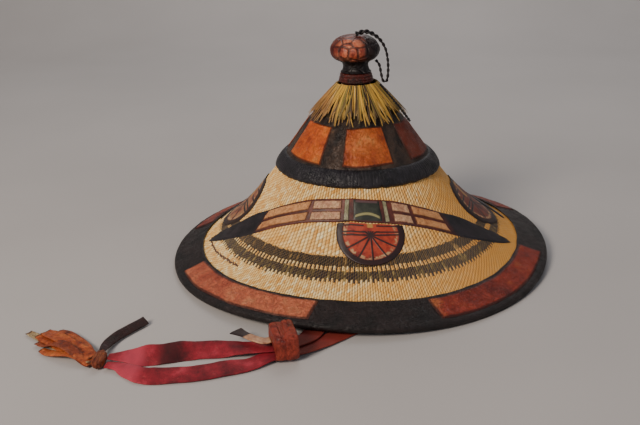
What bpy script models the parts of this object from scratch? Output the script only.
# Woven straw hat with leather trim, a laced knob and a leather chin strap.
# Metres, +Z up, the brim resting on z = 0, the front of the hat towards -Y.
# Angles are in degrees round the hat: 0 at the front, growing towards +X.

import math

import bmesh
import bpy
from mathutils import Quaternion, Vector

# Straw cone
RIM_R = 0.225             # outer edge of the leather rim
CONE_HEIGHT = 0.2055      # closed top of the straw
STRAW = 0.003             # woven wall
# radius as a share of RIM_R, height as a share of CONE_HEIGHT
CONE_SECTION = [
    (0.082, 1.000),
    (0.227, 0.822),
    (0.357, 0.628),
    (0.439, 0.513),
    (0.535, 0.381),
    (0.633, 0.271),
    (0.733, 0.187),
    (0.834, 0.100),
    (0.984, 0.025),
]

# Handmade unevenness: the brim stands on three low places and rises between them
BRIM_RISES = [0.008, 0.009, 0.0015]    # rise after each low place, going round
WAVE_START_R = 0.145      # the wave begins here and is full at the rim
WAVE_LOW = -77.0          # the first low place, in degrees
REST_SHARE = 0.04         # part of the wave that is flattened where the brim rests
CROWN_TILT_X = -0.019     # rise for each metre towards +X
CROWN_TILT_Y = -0.017
TILT_START = 0.05         # height where the tilt begins
TILT_FULL = 0.10

# Leather and clearances
LEATHER = 0.0016
PATCH = 0.0012            # thinner leather laid over it
GAP = 0.0004              # between two pieces that touch

# Rim leather, folded round the edge of the straw
RIM_BAND = 0.037          # width on top, in from the hat's edge
RIM_FOLD = 0.019          # width of the fold under the brim
REST_FLAT = 0.0006        # the fold is pressed flat by this much where it rests
RIM_PANELS = 4
RIM_PANEL_TURN = 49.0     # middle of the first red panel
RIM_PANEL_SPAN = 55.0
RIM_PANEL_EDGE = 0.008    # black leather left outside a panel
RIM_PANEL_WIDTH = 0.0265

# Leather cap on the crown
CAP_TOP_R = 0.032
CAP_ARC_GAP = 0.0065      # straw left between the cap and the bands
CAP_BORDER_WIDTH = 0.013
CAP_BORDER = 0.0048       # thickness of the border
# its rolled edge: past the edge and above the straw, as shares of the thickness
CAP_ROLL = [(-0.4, 1.00), (0.2, 0.75), (0.2, 0.30), (-0.4, 0.00)]
CAP_PANELS = 6
CAP_PANEL_TURN = 8.6
CAP_PANEL_SPAN = 42.0
CAP_PANEL_GAP = 0.002     # black leather between a panel and the border
CAP_PANEL_LENGTH = 0.027

# Curved leather bands over the front and the back
ARC_TURNS = {"front": -3.7, "back": 176.3}
ARC_HALF_SPAN = 79.0
# share of the half span, upper and lower edge as shares of RIM_R
ARC_SECTION = [
    (0.00, 0.449, 0.520),
    (0.30, 0.463, 0.538),
    (0.52, 0.498, 0.580),
    (0.68, 0.540, 0.640),
    (0.82, 0.590, 0.715),
    (0.92, 0.675, 0.773),
    (1.00, 0.800, 0.812),
]
# start and end as shares of the half span, low and high edge as shares of the band's width
ARC_CELLS = {
    "left_low": (-0.66, -0.31, 0.08, 0.46),
    "left_high": (-0.66, -0.31, 0.54, 0.92),
    "mid_left_low": (-0.29, -0.075, 0.08, 0.46),
    "mid_left_high": (-0.29, -0.075, 0.54, 0.92),
    "centre": (0.01, 0.20, 0.08, 0.92),
    "mid_right_low": (0.285, 0.41, 0.08, 0.46),
    "mid_right_high": (0.285, 0.41, 0.54, 0.92),
    "right_low": (0.43, 0.64, 0.08, 0.46),
    "right_high": (0.43, 0.64, 0.54, 0.92),
}
CELL = 0.0009             # thickness of the small inlaid pieces

# Round leather patches, two under the bands' lower edges and two at the sides under the cap
MEDALLION_R = 0.037
MEDALLION_DROP = 0.0085   # from the band's edge to the disc's middle
SIDE_MEDALLION_R = 0.041
SIDE_MEDALLION_GAP = 0.0145    # straw left between the cap and the disc's flat top
SIDE_MEDALLION_DROP = 0.027
MEDALLION_FOOT = 170.0    # the disc's outline is cut off this far round from its top
# angle, radius of the disc, from its top to its middle
MEDALLIONS = {
    "front": (5.5, MEDALLION_R, MEDALLION_DROP),
    "back": (185.5, MEDALLION_R, MEDALLION_DROP),
    "left": (-92.0, SIDE_MEDALLION_R, SIDE_MEDALLION_DROP),
    "right": (88.0, SIDE_MEDALLION_R, SIDE_MEDALLION_DROP),
}

# Ruff of loose straw between the cap and the collar
RUFF_GAP = 0.002          # black leather between the ruff and the panels
RUFF_THICK = 0.0030
RUFF_FLUTE = 0.0010       # depth of the locks
RUFF_LOCKS = 24
RUFF_RAG = 0.0025         # how far the ends differ in length
RUFF_RAG_WAVES = (5, 11)  # times round the hat
RUFF_SIDE = 0.0012        # thicker by this much towards +X

# Knob
COLLAR_R = 0.0200
COLLAR_HEIGHT = 0.0115
# radius as a share of COLLAR_R, height as a share of COLLAR_HEIGHT
COLLAR_SECTION = [
    (0.80, 1.00),
    (0.90, 0.80),
    (0.94, 0.40),
    (1.00, 0.12),
    (1.00, 0.00),
]
COLLAR_STEM = 0.80        # radius of the stem that stands on the straw, as a share of COLLAR_R
STRAW_TIP = 0.0004        # rise of the straw's closed top towards the axis
KNOB_R = 0.0285
KNOB_HEIGHT = 0.0415
KNOB_SHIFT = Vector((-0.0010, 0.0, 0.0))
# radius as a share of KNOB_R, height as a share of KNOB_HEIGHT
KNOB_SECTION = [
    (0.00, 1.000),
    (0.34, 0.985),
    (0.65, 0.925),
    (0.87, 0.810),
    (0.98, 0.680),
    (1.00, 0.570),
    (0.95, 0.460),
    (0.82, 0.365),
    (0.64, 0.300),
    (0.53, 0.240),
    (0.50, 0.160),
    (0.54, 0.060),
    (0.62, 0.000),
    (0.00, 0.000),
]
LACE = 0.0032             # diameter of the dark lace
# route of the lace over the knob and its hanging loop
LACE_ROUTE = [
    (0.000, -0.008, 0.2641),
    (0.012, -0.008, 0.2665),
    (0.0240, -0.008, 0.2605),
    (0.0325, -0.008, 0.2490),
    (0.0358, -0.008, 0.2350),
    (0.0362, -0.008, 0.2200),
    (0.0345, -0.008, 0.2105),
    (0.0308, -0.008, 0.2105),
    (0.0284, -0.008, 0.2190),
    (0.0265, -0.007, 0.2285),
    (0.0225, -0.005, 0.2342),
]
# loose end of the lace, down over the ruff
LACE_TAIL_ANGLE = 72.0
LACE_TAIL_TOP_R = 0.0215
LACE_TAIL_PAST = 0.006    # it reaches this far past the ruff

# Chin strap
STRAP_WIDTH = 0.022
STRAP = 0.002             # thickness
# x, y, z, share of the width, turn of the flat side from the wall (0) to the floor (1), roll
STRAP_LEFT_ROUTE = [
    (-0.1080, 0.002, 0.0817, 1.00, 0.0, 0),
    (-0.1080, 0.000, 0.0580, 1.00, 0.2, 0),
    (-0.1070, -0.003, 0.0300, 1.00, 0.7, 0),
    (-0.1045, -0.010, 0.0095, 1.00, 1.0, 0),
    (-0.0990, -0.027, 0.0022, 1.00, 1.0, 0),
    (-0.0880, -0.060, 0.0015, 1.00, 1.0, 0),
    (-0.0700, -0.105, 0.0015, 1.00, 1.0, 0),
    (-0.0550, -0.145, 0.0015, 1.00, 1.0, 0),
    (-0.0470, -0.180, 0.0018, 1.00, 1.0, 0),
    (-0.0465, -0.208, 0.0040, 1.00, 1.0, 0),
    (-0.0520, -0.227, 0.0056, 0.90, 1.0, 0),
    (-0.0635, -0.2390, 0.0068, 0.84, 1.0, 0),
    (-0.0790, -0.2465, 0.0070, 0.84, 1.0, 0),
    (-0.0980, -0.2488, 0.0071, 0.92, 1.0, 0),
    (-0.1150, -0.2480, 0.0058, 0.98, 1.0, -4),
    (-0.1330, -0.2475, 0.0046, 1.00, 1.0, -16),
    (-0.1600, -0.2505, 0.0052, 1.00, 1.0, -20),
    (-0.1880, -0.2580, 0.0066, 1.00, 1.0, -28),
    (-0.2080, -0.2620, 0.0070, 1.00, 1.0, -28),
    (-0.2270, -0.2610, 0.0062, 0.72, 1.0, -12),
    (-0.2424, -0.2600, 0.0052, 0.46, 1.0, 0),
]
STRAP_RIGHT_ROUTE = [
    (0.1080, 0.002, 0.0787, 1.00, 0.0, 0),
    (0.1080, 0.000, 0.0580, 1.00, 0.2, 0),
    (0.1070, -0.003, 0.0300, 1.00, 0.7, 0),
    (0.1050, -0.010, 0.0095, 1.00, 1.0, 0),
    (0.1010, -0.027, 0.0020, 1.00, 1.0, 0),
    (0.0930, -0.060, 0.0015, 1.00, 1.0, 0),
    (0.0760, -0.102, 0.0015, 1.00, 1.0, 0),
    (0.0490, -0.143, 0.0015, 1.00, 1.0, 0),
    (0.0180, -0.178, 0.0015, 1.00, 1.0, 0),
    (-0.0130, -0.208, 0.0015, 1.00, 1.0, 0),
    (-0.0380, -0.232, 0.0024, 0.92, 1.0, 0),
    (-0.0590, -0.2480, 0.0041, 0.86, 1.0, 0),
    (-0.0890, -0.2620, 0.0041, 0.86, 1.0, 0),
    (-0.1050, -0.2715, 0.0024, 0.92, 1.0, -2),
    (-0.1230, -0.2785, 0.0032, 1.00, 1.0, -8),
    (-0.1500, -0.2870, 0.0032, 1.00, 1.0, -9),
    (-0.1770, -0.2915, 0.0032, 1.00, 1.0, -9),
    (-0.2000, -0.2915, 0.0034, 1.00, 1.0, -9),
    (-0.2160, -0.2835, 0.0034, 0.84, 1.0, -5),
    (-0.2300, -0.2745, 0.0034, 0.60, 1.0, 0),
    (-0.2418, -0.2724, 0.0036, 0.46, 1.0, 0),
]
STRAP_STEPS = 36
ANCHOR_LOW_R = 0.121      # leather tabs inside the crown that carry the strap
ANCHOR_LENGTH = 0.018
ANCHOR_WIDTH = 0.026

SLIDE_SIZE = Vector((0.0225, 0.044, 0.029))
SLIDE_PLACE = Vector((-0.0745, -0.2495, 0.0003))
SLIDE_TURN = 15.0
SLIDE_ROUND = 0.007
SLIDE_SLOT = Vector((0.060, 0.0365, 0.0068))
SLIDE_SLOT_LOW = 0.0024   # leather left under the slot

TIE_SIZE = Vector((0.013, 0.026, 0.011))
TIE_PLACE = Vector((-0.2497, -0.2658, 0.0003))
TIE_ROUND = 0.003
TASSEL_START = Vector((-0.2567, -0.2645, 0.0052))
TASSEL_REACH = Vector((-0.070, 0.056, 0.0))
TASSEL_WIDTH = (0.018, 0.044)    # at the tie and at the ends
TASSEL_STRIPS = 4
TASSEL_THICK = 0.0024
TASSEL_NOTCH = 0.10       # cuts between the strips, as a share of the reach
TASSEL_ROUND = 0.02       # outer strips are shorter
TASSEL_FOLD = 0.0014      # the strips lie in folds this deep
TASSEL_DROP = 0.0008
TASSEL_TURN_OVER = 0.4    # share of the reach in which the strips turn into the fan
TASSEL_FOLD_OVER = 0.33   # and in which the folds deepen

# Short flat thongs: route (x, y, z, share of the width, turn, roll as above), width and thickness
TIE_THONG_ROUTE = [
    (-0.2510, -0.2523, 0.0062, 0.60, 1.0, 0),
    (-0.2502, -0.2400, 0.0060, 0.90, 1.0, 28),
    (-0.2430, -0.2190, 0.0050, 1.00, 1.0, 36),
    (-0.2225, -0.1880, 0.0050, 1.00, 1.0, 36),
]
TIE_THONG_WIDTH = 0.010
SLIDE_THONG_ROUTE = [
    (-0.0874, -0.2469, 0.0142),
    (-0.0945, -0.2490, 0.0142),
    (-0.1050, -0.2425, 0.0137),
    (-0.1150, -0.2325, 0.0124),
    (-0.1245, -0.2225, 0.0104),
]
SLIDE_THONG_WIDTH = 0.011
THONG = 0.0018

# Mesh fineness
TURN_STEPS = 48
CAP_STEPS = 40
KNOB_STEPS = 20
CONE_ROWS = 16
ARC_COLUMNS = 28
LACE_POINTS = 22
TAIL_POINTS = 10
TIE_THONG_STEPS = 10
SLIDE_THONG_STEPS = 8
TASSEL_STEPS = 5


# Radii that follow from the sizes above
RIM_INNER_R = RIM_R - RIM_BAND
RIM_FOLD_R = RIM_R - RIM_FOLD
RIM_PANEL_OUTER_R = RIM_R - RIM_PANEL_EDGE
RIM_PANEL_INNER_R = RIM_PANEL_OUTER_R - RIM_PANEL_WIDTH
CAP_EDGE_R = ARC_SECTION[0][1] * RIM_R - CAP_ARC_GAP
CAP_JOIN_R = CAP_EDGE_R - CAP_BORDER_WIDTH    # where the cap meets its thick lower border
CAP_PANEL_LOW_R = CAP_JOIN_R - CAP_PANEL_GAP
CAP_PANEL_TOP_R = CAP_PANEL_LOW_R - CAP_PANEL_LENGTH
RUFF_LOW_R = CAP_PANEL_TOP_R - RUFF_GAP
LACE_TAIL_LOW_R = RUFF_LOW_R + LACE_TAIL_PAST


# Section of the cone

def hermite(x, xs, ys):
    """Smooth curve through a table's points."""
    last = len(xs) - 1
    i = 0
    while i < last - 1 and x > xs[i + 1]:
        i += 1

    def slope(k):
        low = max(k - 1, 0)
        high = min(k + 1, last)
        return (ys[high] - ys[low]) / (xs[high] - xs[low])

    width = xs[i + 1] - xs[i]
    t = (x - xs[i]) / width
    if t < 0.0 or t > 1.0:
        edge = 0 if t < 0.0 else last
        return ys[edge] + slope(edge) * (x - xs[edge])
    start = ys[i] * (1 + 2 * t) * (1 - t) ** 2 + slope(i) * width * t * (1 - t) ** 2
    end = ys[i + 1] * t * t * (3 - 2 * t) + slope(i + 1) * width * t * t * (t - 1)
    return start + end


def cone_height(radius):
    shares = [row[0] for row in CONE_SECTION]
    heights = [row[1] for row in CONE_SECTION]
    return CONE_HEIGHT * hermite(radius / RIM_R, shares, heights)


def cone_slope(radius):
    step = 0.0005
    return (cone_height(radius + step) - cone_height(radius - step)) / (2 * step)


def cone_section(radius, lift):
    """Radius and height of a point lifted off the straw's outer surface."""
    slope = cone_slope(radius)
    length = math.hypot(1.0, slope)
    return radius - slope / length * lift, cone_height(radius) + lift / length


def ease(t):
    t = min(max(t, 0.0), 1.0)
    return t * t * (3 - 2 * t)


def handmade(point):
    """Adds the brim's wave and the crown's tilt to a point of the plain cone."""
    radius = math.hypot(point.x, point.y)
    angle = math.atan2(point.x, -point.y)
    lobes = len(BRIM_RISES)
    turn = (angle - math.radians(WAVE_LOW)) / (2 * math.pi) % 1.0
    swing = (1 - math.cos(2 * math.pi * lobes * turn)) / 2
    high = BRIM_RISES[min(int(turn * lobes), lobes - 1)]
    rise = high * max(0.0, swing - REST_SHARE) / (1 - REST_SHARE)
    wave = rise * ease((radius - WAVE_START_R) / (RIM_R - WAVE_START_R))
    tilt = ease((point.z - TILT_START) / (TILT_FULL - TILT_START))
    lean = (CROWN_TILT_X * point.x + CROWN_TILT_Y * point.y) * tilt
    return Vector((point.x, point.y, point.z + wave + lean + SEAT))


def on_cone(angle, radius, lift):
    r, z = cone_section(radius, lift)
    turn = math.radians(angle)
    return handmade(Vector((r * math.sin(turn), -r * math.cos(turn), z)))


def rim_section():
    """Closed section of the leather folded round the straw's edge."""
    outer = GAP + LEATHER
    half = STRAW / 2
    edge = RIM_R - half - outer
    end_r, end_z = cone_section(edge, -half)
    top_r, top_z = cone_section(edge, half)
    normal = Vector((top_r - end_r, 0.0, top_z - end_z)).normalized()
    along = Vector((normal.z, 0.0, -normal.x))
    middle = Vector((end_r, 0.0, end_z))

    def nose(radius):
        turns = [math.radians(a) for a in (45, 90, 120, 150)]
        return [middle + (normal * math.cos(a) + along * math.sin(a)) * radius for a in turns]

    def line(radii, lift):
        points = [cone_section(r, lift) for r in radii]
        return [Vector((r, 0.0, z)) for r, z in points]

    top_radii = [RIM_INNER_R + (edge - RIM_INNER_R) * k / 3 for k in range(4)]
    low_radii = [edge, RIM_FOLD_R]
    outside = line(top_radii, outer) + nose(half + outer) + line(low_radii, -STRAW - outer)
    inside = line(top_radii, GAP) + nose(half + GAP) + line(low_radii, -STRAW - GAP)
    low = min(p.z for p in outside) + REST_FLAT
    return [Vector((p.x, 0.0, max(p.z, low))) for p in outside] + inside[::-1]


# The lowest leather rests on z = 0
SEAT = 0.0
SEAT = -min(p.z for p in rim_section())


# Blender helpers

def make_material(name, colour, roughness):
    material = bpy.data.materials.new(name)
    material.use_nodes = True
    shader = material.node_tree.nodes["Principled BSDF"]
    shader.inputs["Base Color"].default_value = (*colour, 1.0)
    shader.inputs["Roughness"].default_value = roughness
    shader.inputs["Metallic"].default_value = 0.0
    return material


def add_object(name, data, colour, roughness):
    obj = bpy.data.objects.new(name, data)
    obj.data.materials.append(make_material(name + "_finish", colour, roughness))
    HAT.objects.link(obj)
    return obj


def baked(obj):
    """Gives an object its evaluated mesh and drops its modifiers."""
    bpy.context.view_layer.update()
    graph = bpy.context.evaluated_depsgraph_get()
    mesh = bpy.data.meshes.new_from_object(obj.evaluated_get(graph))
    obj.modifiers.clear()
    obj.data = mesh
    return mesh


def close_mesh(mesh):
    shape = bmesh.new()
    shape.from_mesh(mesh)
    bmesh.ops.remove_doubles(shape, verts=shape.verts, dist=1e-6)
    bmesh.ops.recalc_face_normals(shape, faces=shape.faces)
    shape.to_mesh(mesh)
    shape.free()
    mesh.shade_smooth()
    mesh.set_sharp_from_angle(angle=math.radians(40))


def turned(name, section, closed, steps, colour, roughness, shift=None, thickness=0.0):
    """A section at +X turned round the hat's axis, then made uneven by hand."""
    mesh = bpy.data.meshes.new(name)
    edges = [(i, i + 1) for i in range(len(section) - 1)]
    if closed:
        edges.append((len(section) - 1, 0))
    mesh.from_pydata(section, edges, [])
    obj = add_object(name, mesh, colour, roughness)
    screw = obj.modifiers.new("turn", "SCREW")
    screw.axis = "Z"
    screw.steps = steps
    screw.render_steps = steps
    screw.use_merge_vertices = True
    screw.merge_threshold = 0.00005
    if thickness:
        wall = obj.modifiers.new("wall", "SOLIDIFY")
        wall.thickness = thickness
        wall.offset = -1.0
        wall.use_even_offset = True
    mesh = baked(obj)
    for vertex in mesh.vertices:
        vertex.co = shift(vertex.co) if shift else handmade(vertex.co)
    close_mesh(mesh)
    return obj


def sheet(name, columns, rows, place, thickness, colour, roughness):
    """A grid laid where place(u, v) says, thickened on its upper side."""
    shape = bmesh.new()
    bmesh.ops.create_grid(shape, x_segments=columns, y_segments=rows, size=0.5)
    for vertex in shape.verts:
        vertex.co = place(vertex.co.x + 0.5, vertex.co.y + 0.5)
    mesh = bpy.data.meshes.new(name)
    shape.to_mesh(mesh)
    shape.free()
    obj = add_object(name, mesh, colour, roughness)
    wall = obj.modifiers.new("wall", "SOLIDIFY")
    wall.thickness = thickness
    wall.offset = 1.0
    wall.use_even_offset = True
    return obj


def smooth_route(route, count):
    """Points spaced evenly along a smooth curve through the route's rows."""
    width = len(route[0])
    marks = [0.0]
    for a, b in zip(route, route[1:]):
        marks.append(marks[-1] + (Vector(b[:3]) - Vector(a[:3])).length)
    result = []
    for k in range(count):
        at = marks[-1] * k / (count - 1)
        result.append([hermite(at, marks, [row[c] for row in route]) for c in range(width)])
    return result


def tube(name, route, diameter, count, colour, roughness):
    data = bpy.data.curves.new(name, "CURVE")
    data.dimensions = "3D"
    data.bevel_depth = diameter / 2
    data.bevel_resolution = 2
    data.use_fill_caps = True
    spline = data.splines.new("POLY")
    points = smooth_route(route, count)
    spline.points.add(count - 1)
    for point, place in zip(spline.points, points):
        point.co = (*place[:3], 1.0)
    return add_object(name, data, colour, roughness)


def rounded_box(name, size, radius, place, turn, colour, roughness):
    """A box with rounded edges standing on its place."""
    shape = bmesh.new()
    bmesh.ops.create_cube(shape, size=1.0)
    for vertex in shape.verts:
        vertex.co = Vector((vertex.co.x * size.x, vertex.co.y * size.y, (vertex.co.z + 0.5) * size.z))
    mesh = bpy.data.meshes.new(name)
    shape.to_mesh(mesh)
    shape.free()
    obj = add_object(name, mesh, colour, roughness)
    obj.location = place
    obj.rotation_euler = (0.0, 0.0, math.radians(turn))
    bevel = obj.modifiers.new("round", "BEVEL")
    bevel.width = radius
    bevel.segments = 3
    return obj


# Straw

def make_straw():
    top_r = CONE_SECTION[0][0] * RIM_R
    edge_r = RIM_R - STRAW / 2 - GAP - LEATHER
    radii = [top_r + (edge_r - top_r) * k / CONE_ROWS for k in range(CONE_ROWS + 1)]
    section = [(0.0, 0.0, cone_height(top_r) + STRAW_TIP)]
    section += [(r, 0.0, cone_height(r)) for r in radii]
    return turned("straw_body", section, False, TURN_STEPS, STRAW_COLOUR, 0.75, thickness=STRAW)


def make_ruff():
    """Bundled straw ends, thicker in locks, from the collar down over the cap."""
    low_lift = GAP + LEATHER + GAP
    top_r = CONE_SECTION[0][0] * RIM_R
    radii = [top_r + (RUFF_LOW_R - top_r) * k / 3 for k in range(4)]
    inside = [cone_section(r, low_lift) for r in radii]
    outside = [cone_section(r, low_lift + RUFF_THICK) for r in radii]
    section = [(r, 0.0, z) for r, z in outside] + [(r, 0.0, z) for r, z in inside[::-1]]

    def locks(co):
        angle = math.atan2(co.x, -co.y)
        radius = math.hypot(co.x, co.y)
        slope = cone_slope(radius)
        lift = (co.z - cone_height(radius)) / math.hypot(1.0, slope)
        if lift < low_lift + RUFF_THICK / 2:
            return handmade(co)
        down = (radius - top_r) / (RUFF_LOW_R - top_r)
        out = RUFF_FLUTE * math.cos(RUFF_LOCKS * angle) * ease(down) + RUFF_SIDE * math.sin(angle)
        rag = sum(math.sin(times * angle + times) for times in RUFF_RAG_WAVES)
        drop = RUFF_RAG / 2 * rag * ease(down * 2 - 1)
        length = math.hypot(1.0, slope)
        radial = Vector((co.x, co.y, 0.0)) / radius
        up = Vector((0.0, 0.0, 1.0))
        normal = (radial * -slope + up) / length
        along = (radial + up * slope) / length
        return handmade(co + normal * out + along * drop)

    return turned("straw_ruff", section, True, CAP_STEPS, RUFF_COLOUR, 0.8, shift=locks)


# Leather on the brim

def make_rim():
    turned("rim_leather", rim_section(), True, TURN_STEPS, BLACK, 0.5)
    for k in range(RIM_PANELS):
        middle = RIM_PANEL_TURN + 360.0 * k / RIM_PANELS

        def place(u, v, middle=middle):
            angle = middle + (u - 0.5) * RIM_PANEL_SPAN
            radius = RIM_PANEL_OUTER_R + (RIM_PANEL_INNER_R - RIM_PANEL_OUTER_R) * v
            return on_cone(angle, radius, 2 * GAP + LEATHER)

        sheet(f"rim_panel_{k + 1}", 11, 2, place, PATCH, RED, 0.5)


def arc_radii(share):
    """Upper and lower edge of a curved band at a share of its half span."""
    shares = [row[0] for row in ARC_SECTION]
    upper = hermite(abs(share), shares, [row[1] for row in ARC_SECTION])
    lower = hermite(abs(share), shares, [row[2] for row in ARC_SECTION])
    return upper * RIM_R, lower * RIM_R


def make_arcs():
    for side, turn in ARC_TURNS.items():

        def place(u, v, lift, turn=turn):
            upper, lower = arc_radii(u)
            return on_cone(turn + u * ARC_HALF_SPAN, lower + (upper - lower) * v, lift)

        sheet(f"arc_band_{side}", ARC_COLUMNS, 2, lambda u, v: place(2 * u - 1, v, GAP), PATCH, BLACK, 0.5)
        for name, (start, end, low, high) in ARC_CELLS.items():

            def cell(u, v, start=start, end=end, low=low, high=high):
                share = start + (end - start) * u
                return place(share, low + (high - low) * v, 2 * GAP + PATCH)

            columns = max(2, round((end - start) * ARC_COLUMNS / 2))
            colour = DARK_GREEN if name == "centre" else TAN
            sheet(f"arc_cell_{side}_{name}", columns, 1, cell, CELL, colour, 0.55)


def make_medallions():
    for side, (angle, size, drop) in MEDALLIONS.items():

        def band_edge(at, side=side):
            return arc_radii((at - ARC_TURNS[side]) / ARC_HALF_SPAN)[1] + 2 * GAP

        under_band = side in ARC_TURNS
        top_r = band_edge(angle) if under_band else CAP_EDGE_R + SIDE_MEDALLION_GAP
        radius = top_r + drop
        slope = math.atan(cone_slope(radius))
        start = math.radians(MEDALLION_FOOT)
        end = math.acos((radius - top_r) / math.cos(slope) / size)

        def place(u, v):
            turn = start + (end - start) * v
            r = radius - size * math.cos(turn) * math.cos(slope)
            at = angle + math.degrees((2 * u - 1) * size * math.sin(turn) / r)
            if under_band:
                r += (band_edge(at) - top_r) * v * v
            return on_cone(at, r, GAP)

        sheet(f"medallion_{side}", 5, 7, place, PATCH, RED, 0.5)


# Leather cap

def make_cap():
    radii = [CAP_TOP_R + (CAP_JOIN_R - CAP_TOP_R) * k / 3 for k in range(4)]
    outside = [cone_section(r, GAP + LEATHER) for r in radii]
    inside = [cone_section(r, GAP) for r in radii]
    section = [(r, 0.0, z) for r, z in outside] + [(r, 0.0, z) for r, z in inside[::-1]]
    turned("cap_leather", section, True, CAP_STEPS, BLACK, 0.5)

    start = CAP_JOIN_R + GAP
    middle = (start + CAP_EDGE_R) / 2
    outside = [cone_section(r, GAP + CAP_BORDER) for r in (start, middle)]
    roll = [cone_section(CAP_EDGE_R + CAP_BORDER * past, GAP + CAP_BORDER * up) for past, up in CAP_ROLL]
    inside = [cone_section(r, GAP) for r in (middle, start)]
    section = [(r, 0.0, z) for r, z in outside + roll + inside]
    turned("cap_border", section, True, CAP_STEPS, BLACK, 0.45)

    for k in range(CAP_PANELS):
        middle = CAP_PANEL_TURN + 360.0 * k / CAP_PANELS

        def place(u, v, middle=middle):
            angle = middle + (u - 0.5) * CAP_PANEL_SPAN
            radius = CAP_PANEL_LOW_R + (CAP_PANEL_TOP_R - CAP_PANEL_LOW_R) * v
            return on_cone(angle, radius, 2 * GAP + LEATHER)

        sheet(f"cap_panel_{k + 1}", 7, 2, place, PATCH, ORANGE, 0.5)


# Knob with its collar and lace

def make_knob():
    top_r = CONE_SECTION[0][0] * RIM_R
    ruff_lift = 2 * GAP + LEATHER + RUFF_THICK
    seat = cone_section(top_r, ruff_lift)[1] + SEAT + 2 * GAP
    top = seat + COLLAR_HEIGHT
    foot = cone_height(top_r) + STRAW_TIP + SEAT + GAP
    stem_r = COLLAR_R * COLLAR_STEM
    rings = [(share * COLLAR_R, 0.0, seat + up * COLLAR_HEIGHT) for share, up in COLLAR_SECTION]
    section = [(0.0, 0.0, top), *rings, (stem_r, 0.0, seat), (stem_r, 0.0, foot), (0.0, 0.0, foot)]
    turned("knob_collar", section, False, KNOB_STEPS, DARK_RED, 0.5, shift=lambda co: co.copy())

    base = top + GAP
    section = [(share * KNOB_R, 0.0, base + up * KNOB_HEIGHT) for share, up in KNOB_SECTION]

    def sit(co):
        share = ease((co.z - base) / KNOB_HEIGHT * 2)
        return co + KNOB_SHIFT * share

    turned("knob", section, False, KNOB_STEPS, KNOB_COLOUR, 0.45, shift=sit)
    tube("knob_lace", LACE_ROUTE, LACE, LACE_POINTS, BLACK, 0.5)

    tail = []
    lift = ruff_lift + RUFF_FLUTE / 2 + RUFF_SIDE + LACE / 2 + GAP
    for k in range(TAIL_POINTS):
        radius = LACE_TAIL_TOP_R + (LACE_TAIL_LOW_R - LACE_TAIL_TOP_R) * k / (TAIL_POINTS - 1)
        tail.append(tuple(on_cone(LACE_TAIL_ANGLE, radius, lift)))
    tube("lace_tail", tail, LACE, TAIL_POINTS, BLACK, 0.5)


# Chin strap

def ribbon(name, route, width, thickness, steps, colour, roughness, wall_side=None):
    """A flat strip along a route, with its flat side down where it lies."""
    rows = smooth_route(route, steps + 1)
    places = [Vector(row[:3]) for row in rows]

    def place(u, v):
        i = min(round(u * steps), steps)
        ahead = places[min(i + 1, steps)] - places[max(i - 1, 0)]
        flat = ahead.cross(Vector((0.0, 0.0, 1.0)))
        if wall_side is not None:
            turn = ease(rows[i][4])
            flat = flat.normalized() * turn + wall_side * (1 - turn)
        flat = (flat - ahead * flat.dot(ahead) / ahead.length_squared).normalized()
        if len(rows[i]) > 5:
            flat = Quaternion(ahead.normalized(), math.radians(rows[i][5])) @ flat
        share = rows[i][3] if len(rows[i]) > 3 else 1.0
        down = flat.cross(ahead).normalized() * thickness / 2
        return places[i] - down + flat * (0.5 - v) * width * share

    return sheet(name, steps, 1, place, thickness, colour, roughness)


def make_anchor(name, angle):
    half = math.degrees(ANCHOR_WIDTH / 2 / ANCHOR_LOW_R)

    def place(u, v):
        radius = ANCHOR_LOW_R - ANCHOR_LENGTH * v
        return on_cone(angle + (2 * u - 1) * half, radius, -STRAW - GAP - STRAP)

    sheet(name, 4, 2, place, STRAP, DARK_RED, 0.55)


def make_slide():
    obj = rounded_box("strap_slide", SLIDE_SIZE, SLIDE_ROUND, SLIDE_PLACE, SLIDE_TURN, RED, 0.5)
    shape = bmesh.new()
    bmesh.ops.create_cube(shape, size=1.0)
    low = SLIDE_PLACE.z + SLIDE_SLOT_LOW
    for vertex in shape.verts:
        x, y, z = vertex.co
        vertex.co = Vector((x * SLIDE_SLOT.x, y * SLIDE_SLOT.y, (z + 0.5) * SLIDE_SLOT.z))
    mesh = bpy.data.meshes.new("slide_slot")
    shape.to_mesh(mesh)
    shape.free()
    cutter = bpy.data.objects.new("slide_slot", mesh)
    cutter.location = (SLIDE_PLACE.x, SLIDE_PLACE.y, low)
    cutter.rotation_euler = (0.0, 0.0, math.radians(SLIDE_TURN))
    cutter.hide_render = True
    cutter.display_type = "WIRE"
    CUTTERS.objects.link(cutter)
    cut = obj.modifiers.new("slot", "BOOLEAN")
    cut.operation = "DIFFERENCE"
    cut.solver = "EXACT"
    cut.object = cutter


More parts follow.
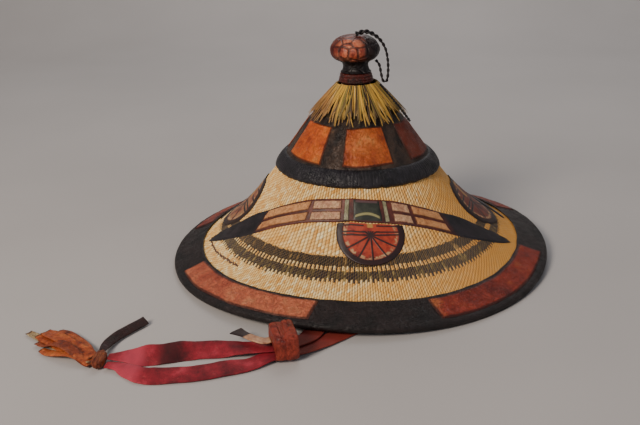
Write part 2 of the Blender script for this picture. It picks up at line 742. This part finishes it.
def make_tassel():
    """Leather strips joined at the tie, fanning out and lying in folds."""
    end_side = Vector((-TASSEL_REACH.y, TASSEL_REACH.x, 0.0)).normalized()
    tie_side = Vector((0.0, -1.0, 0.0))
    columns = TASSEL_STRIPS * 3

    def place(u, v):
        across = 0.5 - v
        strip = v * TASSEL_STRIPS
        fold = math.cos(2 * math.pi * strip)
        rag = TASSEL_NOTCH * (1 + fold) + TASSEL_ROUND * (strip - TASSEL_STRIPS / 2) ** 2
        width = TASSEL_WIDTH[0] + (TASSEL_WIDTH[1] - TASSEL_WIDTH[0]) * u
        side = (tie_side + (end_side - tie_side) * ease(u / TASSEL_TURN_OVER)).normalized()
        lift = -TASSEL_FOLD * fold * ease(u / TASSEL_FOLD_OVER) - TASSEL_DROP * ease(u)
        point = TASSEL_START + TASSEL_REACH * (u * (1 - rag * ease(u))) + side * across * width
        return point + Vector((0.0, 0.0, lift))

    sheet("strap_tassel", TASSEL_STEPS, columns, place, TASSEL_THICK, ORANGE, 0.6)


def make_strap():
    make_anchor("strap_anchor_left", -90.0)
    make_anchor("strap_anchor_right", 90.0)
    forward = Vector((0.0, 1.0, 0.0))
    ribbon("chin_strap_left", STRAP_LEFT_ROUTE, STRAP_WIDTH, STRAP, STRAP_STEPS, CRIMSON, 0.5, -forward)
    ribbon("chin_strap_right", STRAP_RIGHT_ROUTE, STRAP_WIDTH, STRAP, STRAP_STEPS, CRIMSON, 0.5, -forward)
    make_slide()
    rounded_box("strap_tie", TIE_SIZE, TIE_ROUND, TIE_PLACE, 0.0, ORANGE, 0.55)
    make_tassel()
    ribbon("tie_thong", TIE_THONG_ROUTE, TIE_THONG_WIDTH, THONG, TIE_THONG_STEPS, DARK_RED, 0.55)
    ribbon("slide_thong", SLIDE_THONG_ROUTE, SLIDE_THONG_WIDTH, THONG, SLIDE_THONG_STEPS, DARK_RED, 0.55)


# Colours of the plain model, linear
STRAW_COLOUR = (0.72, 0.50, 0.26)
RUFF_COLOUR = (0.45, 0.30, 0.06)
BLACK = (0.018, 0.015, 0.018)
RED = (0.30, 0.055, 0.035)
DARK_RED = (0.06, 0.012, 0.010)
ORANGE = (0.52, 0.13, 0.04)
TAN = (0.40, 0.20, 0.11)
DARK_GREEN = (0.04, 0.045, 0.03)
KNOB_COLOUR = (0.42, 0.10, 0.05)
CRIMSON = (0.35, 0.03, 0.035)

for old in list(bpy.data.objects):
    bpy.data.objects.remove(old, do_unlink=True)
HAT = bpy.data.collections.new("woven_straw_hat")
CUTTERS = bpy.data.collections.new("cutters")
bpy.context.scene.collection.children.link(HAT)
bpy.context.scene.collection.children.link(CUTTERS)

make_straw()
make_rim()
make_arcs()
make_medallions()
make_cap()
make_ruff()
make_knob()
make_strap()
